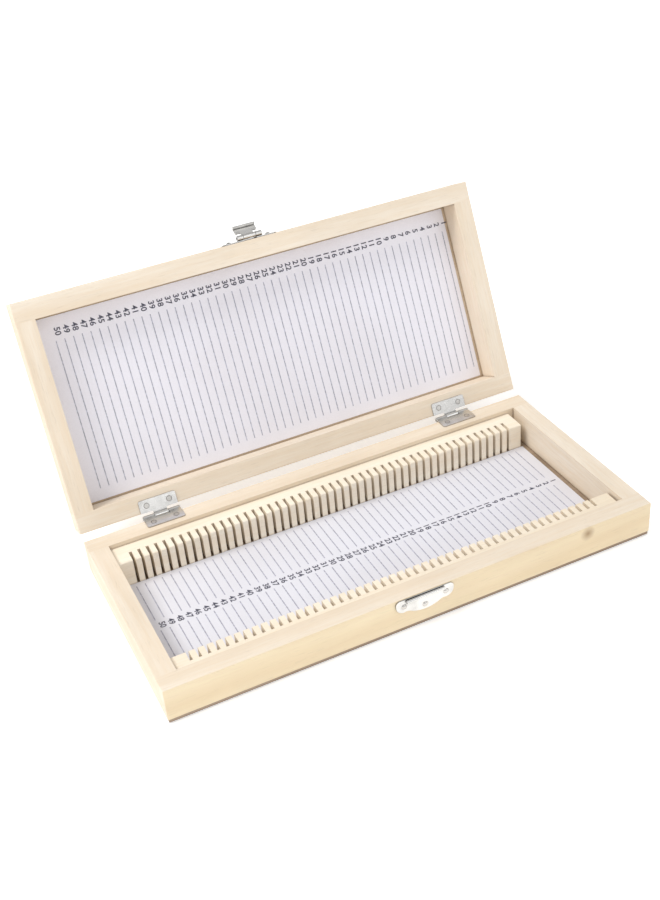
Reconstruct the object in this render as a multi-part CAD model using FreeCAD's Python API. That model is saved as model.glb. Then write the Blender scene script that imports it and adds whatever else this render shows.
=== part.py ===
import FreeCAD, Part
import math
import os
from FreeCAD import Vector as V

# Wooden storage box for fifty microscope slides, standing open.
# Frame: origin at the centre of the underside of the base, +X to the right along the box, +Y to the back
# (the hinge side), +Z up, in mm. The lid is drawn shut and swung back to its open stop, and the latch tongue
# is drawn hooked and swung out, which is how the box stands.

os.makedirs("parts", exist_ok=True)

# ---- driving dimensions ----
W = 230.0            # outside length
D = 107.0            # outside depth
HB = 17.5            # base height, up to the rim
T = 9.0              # wall thickness
T_BOTTOM = 2.0       # base panel
T_TOP = 2.0          # lid panel
LID_WALL = 12.5      # lid wall height, rim to panel
PANEL_INSET = 0.4    # panels stand this far inside the walls' outside faces
GAP = 1.0            # rim to rim when shut, filled by the hinge leaves
EASE = 0.45          # rounding of the outside wood edges
PAPER = 0.15

SLOTS = 50
PITCH = 3.95         # slot to slot
SLOT_W = 1.4         # kerf for a slide 1.0 to 1.2 thick
SLOT_FIRST_X = -98.3
BACK_RAIL_Y = 32.4   # faces of the two rails
BACK_KERF_Y = 38.6
FRONT_RAIL_Y = -34.4
FRONT_KERF_Y = -40.2
RAIL_TOP = 15.2
BACK_RAIL_END = 102.6
FRONT_RAIL_END = 104.8

OPEN_DEG = 114.8     # lid swing from shut to its open stop
HINGE_X = 77.0       # hinge centres, left and right of the middle
LEAF_W = 18.0
LEAF_D = 6.0
LEAF_T = 0.45
YA = D / 2 + 2.2     # hinge axis
ZA = HB - 0.5
KNUCKLE_R = 1.25
PIN_R = 0.60
BORE_R = 0.62
KNUCKLE_HALF = 3.3   # the lid leaf's knuckle reaches this far either side of the hinge centre
KNUCKLE_GAP = 0.2
NAIL_DX = 5.5
NAIL_IN = 3.2        # nail centres in from the back faces
NAIL_HEAD_R = 1.15
NAIL_SHANK_R = 0.60

PLATE_T = 0.6        # latch and catch plates
LATCH_DY = 1.9       # latch pin's axis in front of the lid wall
LATCH_Z = 21.4       # and its height when shut
LOOP_R = 1.2
LATCH_PIN_R = 0.55
LATCH_BORE_R = 0.58
TONGUE_DEG = 135.0   # tongue swing from hooked to leaning back over its plate

ZL = HB + GAP                    # lid rim when shut
ZP = ZL + LID_WALL               # underside of the lid panel when shut
X_IN = W / 2 - T
Y_IN = D / 2 - T
YF = -D / 2
XAXIS = V(1, 0, 0)


def box(x0, x1, y0, y1, z0, z1):
    return Part.makeBox(x1 - x0, y1 - y0, z1 - z0, V(x0, y0, z0))


def rod(x0, x1, y, z, r):
    return Part.makeCylinder(r, x1 - x0, V(x0, y, z), XAXIS)


def near(a, b):
    return abs(a - b) < 1e-4


def edges_where(shape, *tests):
    picked = []
    for t in tests:
        for e in shape.Edges:
            if all(t(v.Point) for v in e.Vertexes) and not any(e.isSame(p) for p in picked):
                picked.append(e)
    return picked


def ease(shape, radius, *tests):
    return shape.makeFillet(radius, edges_where(shape, *tests))


def prism(points, x0, x1):
    # a polygon of (y, z) points swept from x0 to x1
    ring = [V(x0, y, z) for y, z in points]
    return Part.Face(Part.makePolygon(ring + ring[:1])).extrude(V(x1 - x0, 0, 0))


def one(shape):
    s = shape.removeSplitter()
    assert len(s.Solids) == 1 and s.Solids[0].isValid()
    return s.Solids[0]


def long_wall(sy, z_rim, z_panel):
    lo, hi = min(z_rim, z_panel), max(z_rim, z_panel)
    a, b = sorted((sy * D / 2, sy * Y_IN))
    yo = sy * D / 2
    return ease(box(-W / 2, W / 2, a, b, lo, hi), EASE,
                lambda p: near(p.z, z_rim) and near(p.y, yo),
                lambda p: near(p.x, -W / 2) and near(p.y, yo),
                lambda p: near(p.x, W / 2) and near(p.y, yo),
                lambda p: near(p.z, z_rim) and near(p.x, W / 2),
                lambda p: near(p.z, z_rim) and near(p.x, -W / 2))


def side_wall(sx, z_rim, z_panel):
    lo, hi = min(z_rim, z_panel), max(z_rim, z_panel)
    a, b = sorted((sx * W / 2, sx * X_IN))
    return ease(box(a, b, -Y_IN, Y_IN, lo, hi), EASE, lambda p: near(p.z, z_rim) and near(p.x, sx * W / 2))


def panel(z0, z1, z_out):
    s = box(-W / 2 + PANEL_INSET, W / 2 - PANEL_INSET, -D / 2 + PANEL_INSET, D / 2 - PANEL_INSET, z0, z1)
    return ease(s, 0.35, lambda p: near(p.z, z_out))


base, lid, tongue = {}, {}, {}

# ---- base box ----
front = long_wall(-1, HB, T_BOTTOM)
back = long_wall(1, HB, T_BOTTOM)
base["base_left_wall"] = side_wall(-1, HB, T_BOTTOM)
base["base_right_wall"] = side_wall(1, HB, T_BOTTOM)
base["base_bottom_panel"] = panel(0, T_BOTTOM, 0)


def rail(face_y, wall_y, kerf_y, x_end):
    a, b = sorted((face_y, wall_y))
    s = box(-X_IN, x_end, a, b, T_BOTTOM, RAIL_TOP)
    s = s.makeChamfer(0.4, edges_where(s, lambda p: near(p.z, RAIL_TOP) and near(p.y, face_y)))
    out = face_y - 1 if face_y > 0 else face_y + 1
    a, b = sorted((out, kerf_y))
    cuts = [box(SLOT_FIRST_X + PITCH * i - SLOT_W / 2, SLOT_FIRST_X + PITCH * i + SLOT_W / 2, a, b, 1, RAIL_TOP + 1)
            for i in range(SLOTS)]
    return one(s.cut(Part.makeCompound(cuts)))


base["front_slot_rail"] = rail(FRONT_RAIL_Y, -Y_IN, FRONT_KERF_Y, FRONT_RAIL_END)
base["back_slot_rail"] = rail(BACK_RAIL_Y, Y_IN, BACK_KERF_Y, BACK_RAIL_END)
base["base_index_sheet"] = box(-X_IN + 0.2, 103.6, FRONT_RAIL_Y + 0.1, BACK_RAIL_Y - 0.1, T_BOTTOM, T_BOTTOM + PAPER)

# ---- lid box, drawn shut ----
lid_front = long_wall(-1, ZL, ZP)
lid_back = long_wall(1, ZL, ZP)
lid["lid_left_wall"] = side_wall(-1, ZL, ZP)
lid["lid_right_wall"] = side_wall(1, ZL, ZP)
lid["lid_panel"] = panel(ZP, ZP + T_TOP, ZP + T_TOP)
lid["lid_index_sheet"] = box(-105.0, 104.5, -Y_IN + 1.0, Y_IN - 1.0, ZP - PAPER, ZP)


# ---- hinges: base leaf with two knuckles, lid leaf with one between them, pin, and nails with flush heads ----
def flush_nail(x, y, z_face, dz, length=7.0):
    head = Part.makeCylinder(NAIL_HEAD_R, LEAF_T, V(x, y, z_face), V(0, 0, dz))
    shank = Part.makeCylinder(NAIL_SHANK_R, length - 1.2, V(x, y, z_face), V(0, 0, dz))
    tip = Part.makeCone(NAIL_SHANK_R, 0.12, 1.2, V(x, y, z_face + dz * (length - 1.2)), V(0, 0, dz))
    return one(head.fuse(shank).fuse(tip))


def hinge(cx):
    x0, x1 = cx - LEAF_W / 2, cx + LEAF_W / 2
    ka, kb = cx - KNUCKLE_HALF, cx + KNUCKLE_HALF
    y0, yb = D / 2 - LEAF_D, D / 2

    def plate(z0):
        s = box(x0, x1, y0, yb, z0, z0 + LEAF_T)
        es = edges_where(s, lambda p: near(p.y, y0) and near(p.x, x0), lambda p: near(p.y, y0) and near(p.x, x1))
        return s.makeFillet(0.9, es)

    bl = plate(HB)
    for a, b in ((x0, ka - KNUCKLE_GAP), (kb + KNUCKLE_GAP, x1)):
        bl = bl.fuse(box(a, b, yb - 0.5, YA, HB, HB + LEAF_T)).fuse(rod(a, b, YA, ZA, KNUCKLE_R))
    z1 = ZL - LEAF_T
    ll = plate(z1).fuse(box(ka, kb, yb - 0.5, YA, z1, ZL)).fuse(box(ka, kb, YA - KNUCKLE_R, YA, ZA, ZL)).fuse(rod(ka, kb, YA, ZA, KNUCKLE_R))
    bore = rod(x0 - 1, x1 + 1, YA, ZA, BORE_R)
    bl, ll = bl.cut(bore), ll.cut(bore)
    bn, ln = [], []
    yn = D / 2 - NAIL_IN
    for x in (cx - NAIL_DX, cx + NAIL_DX):
        bn.append(flush_nail(x, yn, HB + LEAF_T, -1))
        ln.append(flush_nail(x, yn, z1, 1))
        hole = Part.makeCylinder(NAIL_HEAD_R + 0.18, GAP + 1, V(x, yn, HB - 0.5), V(0, 0, 1))
        bl, ll = bl.cut(hole), ll.cut(hole)
    pin = rod(x0 - 0.1, x1 + 0.1, YA, ZA, PIN_R)
    return one(bl), one(ll), pin, bn, ln


for side, cx in (("left", -HINGE_X), ("right", HINGE_X)):
    bl, ll, pin, bn, ln = hinge(cx)
    base[f"hinge_{side}_base_leaf"] = bl
    base[f"hinge_{side}_pin"] = pin
    base[f"hinge_{side}_base_nails"] = Part.makeCompound(bn)
    lid[f"hinge_{side}_lid_leaf"] = ll
    lid[f"hinge_{side}_lid_nails"] = Part.makeCompound(ln)
    for x in (cx - NAIL_DX, cx + NAIL_DX):
        yn = D / 2 - NAIL_IN
        back = back.cut(Part.makeCylinder(NAIL_SHANK_R + 0.02, 7.2, V(x, yn, HB - 6.7), V(0, 0, 1)))
        lid_back = lid_back.cut(Part.makeCylinder(NAIL_SHANK_R + 0.02, 7.2, V(x, yn, ZL - 0.5), V(0, 0, 1)))
base["base_back_wall"] = one(back)
lid["lid_back_wall"] = one(lid_back)


# ---- latch: scalloped plates with domed nails ----
def plate_outline(sz, z_edge, deep, y):
    # straight edge at z_edge, rounded ears at both ends, deeper rounded middle; sz is the side it grows to
    h = 13.6

    def p(x, d):
        return V(x, y, z_edge + sz * d)

    def seg(a, b):
        return Part.makeLine(a, b)

    def arc(a, m, b):
        return Part.Arc(a, m, b).toShape()

    return [seg(p(-h + 1.5, 0), p(h - 1.5, 0)), arc(p(h - 1.5, 0), p(h - 0.3, 0.9), p(h, 2.6)),
            arc(p(h, 2.6), p(h - 1.0, 5.3), p(h - 3.6, 6.5)), arc(p(h - 3.6, 6.5), p(h - 5.9, 6.5), p(6.4, 7.2)),
            arc(p(6.4, 7.2), p(0, deep), p(-6.4, 7.2)), arc(p(-6.4, 7.2), p(-h + 5.9, 6.5), p(-h + 3.6, 6.5)),
            arc(p(-h + 3.6, 6.5), p(-h + 1.0, 5.3), p(-h, 2.6)), arc(p(-h, 2.6), p(-h + 0.3, 0.9), p(-h + 1.5, 0))]


def scalloped(sz, z_edge, deep):
    return Part.Face(Part.Wire(plate_outline(sz, z_edge, deep, YF - PLATE_T))).extrude(V(0, PLATE_T, 0))


def domed_nail(x, z):
    y = YF - PLATE_T
    rr = (1.3 ** 2 + 0.65 ** 2) / (2 * 0.65)
    cap = Part.makeSphere(rr, V(x, y - 0.65 + rr, z)).common(box(x - 2, x + 2, y - 1, y, z - 2, z + 2))
    shank = Part.makeCylinder(0.55, 5.8, V(x, y - 0.05, z), V(0, 1, 0))
    tip = Part.makeCone(0.55, 0.1, 1.0, V(x, y + 5.75, z), V(0, 1, 0))
    return one(cap.fuse(shank).fuse(tip))


def nail_hole(x, z, r):
    return Part.makeCylinder(r, 9.0, V(x, YF - 1.5, z), V(0, 1, 0))


CATCH_TOP = 17.1
catch = scalloped(-1, CATCH_TOP, 8.6)
catch = catch.fuse(rod(-9.0, 9.0, YF - 1.3, 16.2, 0.8)).fuse(box(-9.0, 9.0, YF - 1.3, YF - 0.3, 15.8, 16.6))
catch_at = [(-9.9, CATCH_TOP - 3.4), (9.9, CATCH_TOP - 3.4), (0.0, CATCH_TOP - 6.1)]
for x, z in catch_at:
    catch = catch.cut(nail_hole(x, z, 0.6))
    front = front.cut(nail_hole(x, z, 0.57))
base["base_front_wall"] = one(front)
base["latch_catch_plate"] = one(catch)
base["latch_catch_nails"] = Part.makeCompound([domed_nail(x, z) for x, z in catch_at])

YL = YF - LATCH_DY
PLATE_EDGE = 20.6
lp = scalloped(1, PLATE_EDGE, 8.8)
lp = lp.cut(box(-3.2, 3.2, YF - 2, YF + 1, PLATE_EDGE - 1, LATCH_Z + 1.5))
for a, b in ((-6.2, -3.2), (3.2, 6.2)):
    lp = lp.fuse(rod(a, b, YL, LATCH_Z, LOOP_R)).fuse(box(a, b, YL, YF - 0.3, LATCH_Z, LATCH_Z + LOOP_R))
lp = lp.cut(rod(-8, 8, YL, LATCH_Z, LATCH_BORE_R))
latch_at = [(-9.9, PLATE_EDGE + 3.4), (9.9, PLATE_EDGE + 3.4), (0.0, PLATE_EDGE + 6.2)]
for x, z in latch_at:
    lp = lp.cut(nail_hole(x, z, 0.6))
    lid_front = lid_front.cut(nail_hole(x, z, 0.57))
lid["lid_front_wall"] = one(lid_front)
lid["latch_lid_plate"] = one(lp)
lid["latch_lid_nails"] = Part.makeCompound([domed_nail(x, z) for x, z in latch_at])
lid["latch_pin"] = rod(-6.5, 6.5, YL, LATCH_Z, LATCH_PIN_R)

# tongue: knuckle, stem, and a wide end turned in under the catch's bead
ring = rod(-3.0, 3.0, YL, LATCH_Z, 1.15)
stem = box(-3.0, 3.0, YF - 3.0, YF - 2.4, 17.6, LATCH_Z)
wide = box(-5.5, 5.5, YF - 3.0, YF - 2.4, 14.4, 17.8)
wide = wide.makeFillet(0.9, edges_where(wide, lambda p: near(p.x, -5.5) and near(p.z, 17.8), lambda p: near(p.x, 5.5) and near(p.z, 17.8)))
hook = prism([(YF - 3.0, 14.9), (YF - 2.85, 14.45), (YF - 2.5, 14.2), (YF - 1.0, 14.2), (YF - 1.0, 14.8), (YF - 2.4, 14.8), (YF - 2.4, 15.3), (YF - 3.0, 15.3)], -5.5, 5.5)
tg = ring.fuse(stem).fuse(wide.cut(box(-6, 6, YF - 3.5, YF - 2, 14.0, 14.9))).fuse(hook)
tg = tg.cut(rod(-8, 8, YL, LATCH_Z, LATCH_BORE_R + 0.02))
tongue["latch_tongue"] = one(tg)

# ---- swing to the open pose and write ----
for name, s in tongue.items():
    s = s.copy()
    s.rotate(V(0, YL, LATCH_Z), XAXIS, -TONGUE_DEG)
    s.rotate(V(0, YA, ZA), XAXIS, -OPEN_DEG)
    tongue[name] = s
for name, s in lid.items():
    s = s.copy()
    s.rotate(V(0, YA, ZA), XAXIS, -OPEN_DEG)
    lid[name] = s

th = math.radians(-OPEN_DEG)
dy, dz = YL - YA, LATCH_Z - ZA
print("hinge axis y, z:", YA, ZA, "latch axis y, z:", round(YA + dy * math.cos(th) - dz * math.sin(th), 4),
      round(ZA + dy * math.sin(th) + dz * math.cos(th), 4))

for group in (base, lid, tongue):
    for name, s in group.items():
        assert all(k.isValid() for k in s.Solids), name
        s.exportStep(f"parts/{name}.step")
print(len(base), len(lid), len(tongue), "nodes")
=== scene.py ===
import bpy
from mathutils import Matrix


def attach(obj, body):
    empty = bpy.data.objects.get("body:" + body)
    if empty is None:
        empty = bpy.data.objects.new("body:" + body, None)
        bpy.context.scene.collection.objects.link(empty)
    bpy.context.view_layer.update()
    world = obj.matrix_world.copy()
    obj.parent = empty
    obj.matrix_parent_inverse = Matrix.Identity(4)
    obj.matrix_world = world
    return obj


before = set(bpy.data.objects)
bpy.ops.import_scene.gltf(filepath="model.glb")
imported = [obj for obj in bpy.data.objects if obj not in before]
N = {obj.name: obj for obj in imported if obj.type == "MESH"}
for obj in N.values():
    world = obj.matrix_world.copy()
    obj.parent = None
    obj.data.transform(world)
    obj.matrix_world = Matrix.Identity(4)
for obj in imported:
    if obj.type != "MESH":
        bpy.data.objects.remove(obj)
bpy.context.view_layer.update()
import bpy, math
from mathutils import Matrix, Vector

OPEN = math.radians(-114.8)
HINGE = Vector((0, 0.0557, 0.0170))
SWING = Matrix.Translation(HINGE) @ Matrix.Rotation(OPEN, 4, "X") @ Matrix.Translation(-HINGE)   # shut to open


# ---- materials ----
def new_mat(name):
    m = bpy.data.materials.new(name)
    m.use_nodes = True
    nt = m.node_tree
    return m, nt, nt.nodes["Principled BSDF"]


def node(nt, kind, **values):
    n = nt.nodes.new(kind)
    for k, v in values.items():
        if k in n.inputs:
            n.inputs[k].default_value = v
        else:
            setattr(n, k, v)
    return n


def ramp(nt, src, stops):
    r = nt.nodes.new("ShaderNodeValToRGB")
    while len(r.color_ramp.elements) < len(stops):
        r.color_ramp.elements.new(0.5)
    for e, (p, c) in zip(r.color_ramp.elements, stops):
        e.position = p
        e.color = (c, c, c, 1) if isinstance(c, float) else (*c, 1)
    nt.links.new(src, r.inputs[0])
    return r.outputs[0]


def mix(nt, a, b, fac, kind="MIX"):
    m = nt.nodes.new("ShaderNodeMix")
    m.data_type, m.blend_type = "RGBA", kind
    for s, v in ((m.inputs[0], fac), (m.inputs[6], a), (m.inputs[7], b)):
        if hasattr(v, "is_linked"):
            nt.links.new(v, s)
        else:
            s.default_value = v if isinstance(v, (int, float)) else (*v, 1)
    return m.outputs[2]


def wood(name, light, dark, along="X", tilt=0.0, seed=0.0, knot=None, rough=0.62, contrast=1.0, front_shade_colours=None, painted_crease_shade=0.85):
    """Planed softwood with its grain along one axis of the piece."""
    m, nt, b = new_mat(name)
    L = nt.links.new
    tc = node(nt, "ShaderNodeTexCoord")
    turn = node(nt, "ShaderNodeMapping")
    turn.inputs["Rotation"].default_value = (tilt, 0, 0)
    L(tc.outputs["Object"], turn.inputs[0])
    off = node(nt, "ShaderNodeMapping")
    off.inputs["Location"].default_value = (seed * 0.37, seed * 0.53, seed * 0.71)
    sc = {"X": (4.0, 60.0, 60.0), "Y": (60.0, 4.0, 60.0)}[along]
    off.inputs["Scale"].default_value = sc
    L(turn.outputs[0], off.inputs[0])
    p = off.outputs[0]
    bands = node(nt, "ShaderNodeTexNoise", Scale=1.7, Detail=3.0, Roughness=0.5, Distortion=0.35)
    fine = node(nt, "ShaderNodeTexNoise", Scale=14.0, Detail=5.0, Roughness=0.62)
    pores = node(nt, "ShaderNodeTexNoise", Scale=42.0, Detail=2.0, Roughness=0.5)
    for t in (bands, fine, pores):
        L(p, t.inputs["Vector"])
    blot = node(nt, "ShaderNodeTexNoise", Scale=26.0, Detail=3.0)
    L(tc.outputs["Object"], blot.inputs["Vector"])
    f1 = ramp(nt, bands.outputs[0], ((0.36, 0.0), (0.62, 1.0)))
    f2 = ramp(nt, fine.outputs[0], ((0.34, 0.0), (0.68, 1.0)))
    col = mix(nt, light, dark, f1)
    warm = tuple(c * k for c, k in zip(dark, (0.97, 0.90, 0.80)))
    if front_shade_colours:
        # painted light: faces turned toward -Y take a separate tan colour, set to match how the front face is lit
        xyz = node(nt, "ShaderNodeSeparateXYZ")
        L(tc.outputs["Normal"], xyz.inputs[0])
        neg = node(nt, "ShaderNodeMath", operation="MULTIPLY")
        neg.inputs[1].default_value = -1.0
        L(xyz.outputs["Y"], neg.inputs[0])
        front_shade_col = mix(nt, front_shade_colours[0], front_shade_colours[1], f1)
        col = mix(nt, col, front_shade_col, ramp(nt, neg.outputs[0], ((0.2, 0.0), (0.9, 1.0))))
    half = node(nt, "ShaderNodeMath", operation="MULTIPLY")
    L(f2, half.inputs[0])
    half.inputs[1].default_value = 0.42 * contrast
    col = mix(nt, col, warm, half.outputs[0])
    streak = ramp(nt, pores.outputs[0], ((0.60, 1.0), (0.74, 0.86)))
    col = mix(nt, col, streak, 0.7 * contrast, "MULTIPLY")
    soil = ramp(nt, blot.outputs[0], ((0.40, 1.0), (0.72, 0.94)))
    col = mix(nt, col, soil, 0.8, "MULTIPLY")
    if knot:
        g = node(nt, "ShaderNodeVectorMath", operation="DISTANCE")
        L(tc.outputs["Object"], g.inputs[0])
        g.inputs[1].default_value = knot
        k = ramp(nt, g.outputs["Value"], ((0.0003, (0.35, 0.24, 0.16)), (0.0010, (1.0, 1.0, 1.0))))
        col = mix(nt, col, k, 0.8, "MULTIPLY")
    # painted shade: ambient occlusion darkens the wood in kerfs, gaps and beside the hinge leaves
    ao = node(nt, "ShaderNodeAmbientOcclusion", Distance=0.0016, samples=6)
    col = mix(nt, col, ramp(nt, ao.outputs["AO"], ((0.30, (0.30, 0.22, 0.17)), (0.80, (1.0, 1.0, 1.0)))), painted_crease_shade, "MULTIPLY")
    L(col, b.inputs["Base Color"])
    r = node(nt, "ShaderNodeMapRange")
    L(fine.outputs[0], r.inputs[0])
    r.inputs[3].default_value, r.inputs[4].default_value = rough - 0.10, rough + 0.14
    L(r.outputs[0], b.inputs["Roughness"])
    b.inputs["Specular IOR Level"].default_value = 0.28
    hsum = node(nt, "ShaderNodeMath", operation="MULTIPLY_ADD")
    L(pores.outputs[0], hsum.inputs[0])
    hsum.inputs[1].default_value = 0.7
    L(fine.outputs[0], hsum.inputs[2])
    bump = node(nt, "ShaderNodeBump", Strength=0.22, Distance=0.00025)
    L(hsum.outputs[0], bump.inputs["Height"])
    L(bump.outputs[0], b.inputs["Normal"])
    return m


def paper(name, colour):
    m, nt, b = new_mat(name)
    L = nt.links.new
    tc = node(nt, "ShaderNodeTexCoord")
    big = node(nt, "ShaderNodeTexNoise", Scale=18.0, Detail=3.0)
    fib = node(nt, "ShaderNodeTexNoise", Scale=1400.0, Detail=4.0, Roughness=0.7)
    for t in (big, fib):
        L(tc.outputs["Object"], t.inputs["Vector"])
    col = mix(nt, colour, tuple(c * k for c, k in zip(colour, (0.95, 0.94, 0.93))), ramp(nt, big.outputs[0], ((0.40, 0.0), (0.70, 1.0))))
    col = mix(nt, col, ramp(nt, fib.outputs[0], ((0.30, 0.93), (0.60, 1.0))), 0.6, "MULTIPLY")
    L(col, b.inputs["Base Color"])
    b.inputs["Roughness"].default_value = 0.7
    b.inputs["Specular IOR Level"].default_value = 0.3
    add = node(nt, "ShaderNodeMath", operation="MULTIPLY_ADD")
    L(big.outputs[0], add.inputs[0])
    add.inputs[1].default_value = 6.0
    L(fib.outputs[0], add.inputs[2])
    bump = node(nt, "ShaderNodeBump", Strength=0.25, Distance=0.00012)
    L(add.outputs[0], bump.inputs["Height"])
    L(bump.outputs[0], b.inputs["Normal"])
    return m


def ink(name, colour):
    m, nt, b = new_mat(name)
    tc = node(nt, "ShaderNodeTexCoord")
    t = node(nt, "ShaderNodeTexNoise", Scale=900.0, Detail=3.0)
    nt.links.new(tc.outputs["Object"], t.inputs["Vector"])
    c = mix(nt, colour, tuple(min(1, k * 1.5 + 0.03) for k in colour), ramp(nt, t.outputs[0], ((0.42, 0.0), (0.62, 1.0))))
    nt.links.new(c, b.inputs["Base Color"])
    b.inputs["Roughness"].default_value = 0.65
    return m


def plated(name, colour, rough=0.27):
    """Nickel-plated pressed steel, lightly scratched and dulled."""
    m, nt, b = new_mat(name)
    L = nt.links.new
    tc = node(nt, "ShaderNodeTexCoord")
    dull = node(nt, "ShaderNodeTexNoise", Scale=160.0, Detail=3.0, Roughness=0.5)
    spots = node(nt, "ShaderNodeTexNoise", Scale=1500.0, Detail=2.0)
    mp = node(nt, "ShaderNodeMapping")
    mp.inputs["Scale"].default_value = (500, 5000, 3500)
    mp.inputs["Rotation"].default_value = (0.3, 0.2, 0.5)
    L(tc.outputs["Object"], mp.inputs[0])
    scr = node(nt, "ShaderNodeTexNoise", Scale=1.0, Detail=2.0)
    L(mp.outputs[0], scr.inputs["Vector"])
    for t in (dull, spots):
        L(tc.outputs["Object"], t.inputs["Vector"])
    col = mix(nt, colour, tuple(c * 0.84 for c in colour), ramp(nt, dull.outputs[0], ((0.45, 0.0), (0.72, 1.0))))
    col = mix(nt, col, (0.30, 0.25, 0.19), ramp(nt, spots.outputs[0], ((0.70, 0.0), (0.80, 0.5))))
    # painted shade: ambient occlusion darkens the metal in crevices, outlining the nails and leaf edges
    ao = node(nt, "ShaderNodeAmbientOcclusion", Distance=0.0009, samples=6)
    col = mix(nt, col, ramp(nt, ao.outputs["AO"], ((0.40, (0.10, 0.095, 0.09)), (0.93, (1.0, 1.0, 1.0)))), 0.9, "MULTIPLY")
    L(col, b.inputs["Base Color"])
    b.inputs["Metallic"].default_value = 1.0
    r = node(nt, "ShaderNodeMapRange")
    L(dull.outputs[0], r.inputs[0])
    r.inputs[3].default_value, r.inputs[4].default_value = rough - 0.06, rough + 0.16
    L(r.outputs[0], b.inputs["Roughness"])
    bump = node(nt, "ShaderNodeBump", Strength=0.18, Distance=0.00006)
    L(scr.outputs[0], bump.inputs["Height"])
    L(bump.outputs[0], b.inputs["Normal"])
    return m


RIM, RIM_D = (0.85, 0.765, 0.65), (0.79, 0.68, 0.545)
# painted light: tan colours for the front outside face, standing in for how that face is lit
FRONT_SHADE_TAN, FRONT_SHADE_TAN_D = (0.82, 0.70, 0.49), (0.75, 0.61, 0.405)
LID_TILT = -OPEN
mats = {
    "base_front_wall": wood("wood_base_front", RIM, RIM_D, front_shade_colours=(FRONT_SHADE_TAN, FRONT_SHADE_TAN_D), seed=1, knot=(0.0815, -0.0535, 0.0140)),
    "base_back_wall": wood("wood_base_back", RIM, RIM_D, seed=2),
    "base_left_wall": wood("wood_base_left", RIM, RIM_D, "Y", seed=3),
    "base_right_wall": wood("wood_base_right", RIM, RIM_D, "Y", seed=4),
    "base_bottom_panel": wood("wood_base_panel", (0.40, 0.31, 0.23), (0.28, 0.21, 0.15), seed=5, contrast=1.2),
    "front_slot_rail": wood("wood_rail_front", (0.91, 0.83, 0.70), (0.86, 0.76, 0.61), seed=6, painted_crease_shade=0.6),
    "back_slot_rail": wood("wood_rail_back", (0.95, 0.88, 0.75), (0.90, 0.81, 0.67), seed=7, painted_crease_shade=0.7),
    "lid_front_wall": wood("wood_lid_front", RIM, RIM_D, tilt=LID_TILT, seed=8),
    "lid_back_wall": wood("wood_lid_back", RIM, RIM_D, tilt=LID_TILT, seed=9),
    "lid_left_wall": wood("wood_lid_left", RIM, RIM_D, "Y", tilt=LID_TILT, seed=10),
    "lid_right_wall": wood("wood_lid_right", RIM, RIM_D, "Y", tilt=LID_TILT, seed=11),
    "lid_panel": wood("wood_lid_panel", (0.66, 0.55, 0.42), (0.55, 0.44, 0.32), tilt=LID_TILT, seed=12, contrast=1.2),
    "base_index_sheet": paper("card_base", (0.77, 0.77, 0.83)),
    "lid_index_sheet": paper("card_lid", (0.84, 0.83, 0.90)),
}
nickel, nickel_pin, nail_steel = plated("nickel_plate", (0.73, 0.72, 0.70), 0.15), plated("nickel_pin", (0.50, 0.49, 0.47), 0.25), plated("nail_steel", (0.62, 0.60, 0.57), 0.2)
for name, o in N.items():
    m = mats.get(name) or (nail_steel if "nails" in name else nickel_pin if "pin" in name else nickel)
    o.data.materials.clear()
    o.data.materials.append(m)
    if "wall" in name or "rail" in name or name.endswith("panel"):
        bev = o.modifiers.new("soft_edges", "BEVEL")
        bev.width, bev.segments, bev.limit_method, bev.angle_limit = 0.00012, 2, "ANGLE", math.radians(50)
        bev.harden_normals = False
    elif "leaf" in name or "plate" in name or "tongue" in name:
        bev = o.modifiers.new("soft_edges", "BEVEL")
        bev.width, bev.segments, bev.limit_method, bev.angle_limit = 0.00006, 2, "ANGLE", math.radians(50)

# ---- printed lines and numbers: flat shapes lying on the cards ----
THICK = 0.00003
line_ink, digit_ink = ink("ink_line", (0.33, 0.33, 0.40)), ink("ink_digit", (0.06, 0.06, 0.09))


def slab(name, rects, z, mat, rest, body):
    """Thin bars (x0, x1, y0, y1) as one piece, drawn with the box shut."""
    vs, fs = [], []
    for x0, x1, y0, y1 in rects:
        k = len(vs)
        for zz in (z - THICK / 2, z + THICK / 2):
            vs += [(x0, y0, zz), (x1, y0, zz), (x1, y1, zz), (x0, y1, zz)]
        fs += [[k + i for i in f] for f in ((3, 2, 1, 0), (4, 5, 6, 7), (0, 1, 5, 4), (1, 2, 6, 5), (2, 3, 7, 6), (3, 0, 4, 7))]
    me = bpy.data.meshes.new(name)
    me.from_pydata([rest @ Vector(v) for v in vs], [], fs)
    me.materials.append(mat)
    o = bpy.data.objects.new(name, me)
    bpy.context.scene.collection.objects.link(o)
    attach(o, body)
    return o


def numbers(name, xs, y, z, flip, rest, body, size):
    """1 at the right to 50 at the left, each turned a quarter clockwise."""
    parts = []
    for i, x in enumerate(xs):
        cu = bpy.data.curves.new(f"{name}_{i}", "FONT")
        cu.body, cu.size, cu.align_x, cu.align_y = str(50 - i), size, "CENTER", "CENTER"
        cu.extrude, cu.resolution_u = THICK / 2, 3
        cu.offset = size * 0.022
        ob = bpy.data.objects.new(f"{name}_{i}", cu)
        bpy.context.scene.collection.objects.link(ob)
        m = Matrix.Translation((x, y, z)) @ (Matrix.Rotation(math.pi, 4, "X") if flip else Matrix.Identity(4)) @ Matrix.Rotation(-math.pi / 2, 4, "Z")
        parts.append((ob, m))
    dg = bpy.context.evaluated_depsgraph_get()
    vs, fs = [], []
    for ob, m in parts:
        me = bpy.data.meshes.new_from_object(ob.evaluated_get(dg))
        k = len(vs)
        vs += [rest @ (m @ v.co) for v in me.vertices]
        fs += [[k + j for j in p.vertices] for p in me.polygons]
        bpy.data.meshes.remove(me)
    for ob, _ in parts:
        cu = ob.data
        bpy.data.objects.remove(ob)
        bpy.data.curves.remove(cu)
    me = bpy.data.meshes.new(name)
    me.from_pydata(vs, [], fs)
    me.materials.append(digit_ink)
    o = bpy.data.objects.new(name, me)
    bpy.context.scene.collection.objects.link(o)
    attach(o, body)
    return o


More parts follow.
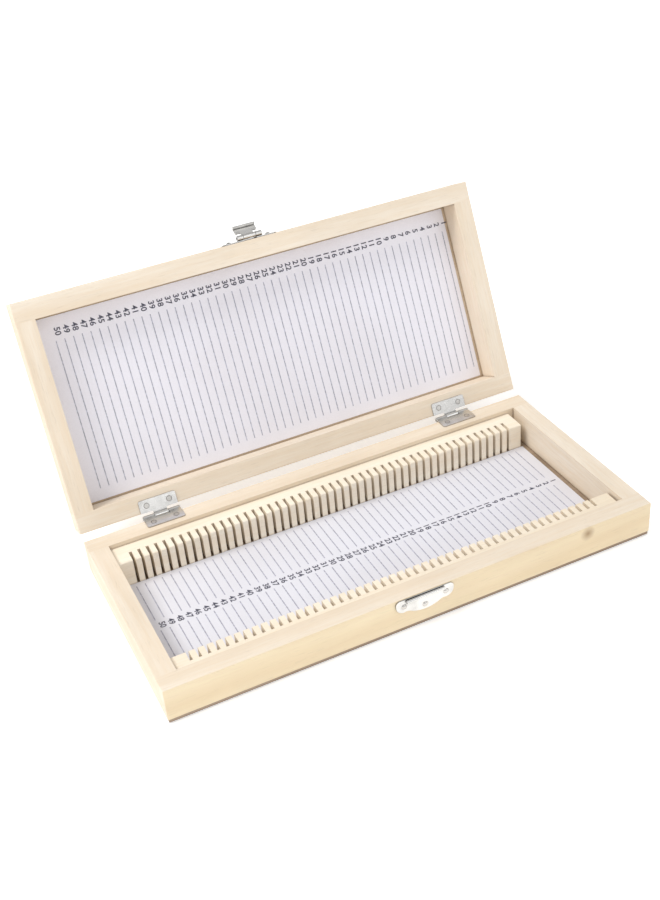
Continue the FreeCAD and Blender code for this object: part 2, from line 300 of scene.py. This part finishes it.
I4 = Matrix.Identity(4)
mm = 0.001
zb = (2.15 + 0.03) * mm
bx = [(-100.3 + 4.05 * i) * mm for i in range(50)]
LW = 0.00024
slab("base_sheet_lines", [(x - LW, x + LW, a * mm, b * mm) for x in bx for a, b in ((4.3, 30.0), (-30.0, -3.0))], zb, line_ink, I4, "base")
numbers("base_sheet_numbers", [x + 1.8 * mm for x in bx], 0.25 * mm, zb, False, I4, "base", 3.9 * mm)
zl = (30.85 - 0.03) * mm
lx = [(-98.3 + 4.09 * i) * mm for i in range(50)]


def lid_y(s):
    return (53.5 - s) * mm


slab("lid_sheet_lines", [(x - LW, x + LW, lid_y(85.9), lid_y(15.3)) for x in lx], zl, line_ink, SWING, "lid")
numbers("lid_sheet_numbers", [x + 1.8 * mm for x in lx], lid_y(89.9), zl, True, SWING, "lid", 3.9 * mm)

# ---- camera ----
cam = bpy.data.objects.new("camera", bpy.data.cameras.new("camera"))
bpy.context.scene.collection.objects.link(cam)
cam.data.lens, cam.data.sensor_width = 49.745, 36
cam.data.clip_start, cam.data.clip_end = 0.01, 20
R = Matrix(((0.89817, 0.30223, -0.3193), (-0.43306, 0.48296, -0.7611), (-0.07581, 0.82183, 0.5647)))
cam.matrix_world = Matrix.Translation((-0.18134, -0.39942, 0.35828)) @ R.to_4x4()
bpy.context.scene.camera = cam

# ---- floor, cards and light ----
dm, nt, b = new_mat("dark_card")
b.inputs["Base Color"].default_value = (0.02, 0.02, 0.02, 1)
b.inputs["Roughness"].default_value = 0.9
for k, (loc, size) in enumerate((((-0.1, 0.9, 1.1), (1.2, 0.35)), ((0.6, -1.2, 0.9), (1.0, 0.3)))):
    bpy.ops.mesh.primitive_plane_add(size=1, location=loc)
    card = bpy.context.object
    card.name = f"card_{k}"
    card.scale = (size[0], size[1], 1)
    card.rotation_euler = (Vector((0, 0, 0.05)) - Vector(loc)).to_track_quat("-Z", "Y").to_euler()
    card.data.materials.append(dm)

fm, nt, b = new_mat("floor")
b.inputs["Base Color"].default_value = (0.97, 0.97, 0.97, 1)
b.inputs["Roughness"].default_value = 0.9
b.inputs["Specular IOR Level"].default_value = 0.1
b.inputs["Emission Color"].default_value = (1, 1, 1, 1)
b.inputs["Emission Strength"].default_value = 0.34
bpy.ops.mesh.primitive_plane_add(size=12, location=(0, 0, -0.0002))
floor = bpy.context.object
floor.name = "floor"
floor.data.materials.append(fm)

w = bpy.data.worlds.new("studio")
w.use_nodes = True
w.node_tree.nodes["Background"].inputs[0].default_value = (1.0, 1.0, 1.0, 1)
w.node_tree.nodes["Background"].inputs[1].default_value = 0.68
bpy.context.scene.world = w


def area(name, loc, target, size, power, colour=(1, 1, 1)):
    li = bpy.data.lights.new(name, "AREA")
    li.size, li.energy, li.color = size, power, colour
    o = bpy.data.objects.new(name, li)
    bpy.context.scene.collection.objects.link(o)
    o.location = loc
    o.rotation_euler = (Vector(target) - Vector(loc)).to_track_quat("-Z", "Y").to_euler()


area("key", (-0.75, 0.15, 1.15), (0, 0, 0.03), 0.5, 10.0, (1.0, 0.985, 0.96))
area("fill", (0.5, -1.1, 0.9), (0, 0, 0.05), 1.2, 4.2, (0.98, 0.99, 1.0))
sc = bpy.context.scene
sc.view_settings.view_transform = "Standard"
sc.view_settings.look = "None"
sc.view_settings.exposure = 0.0
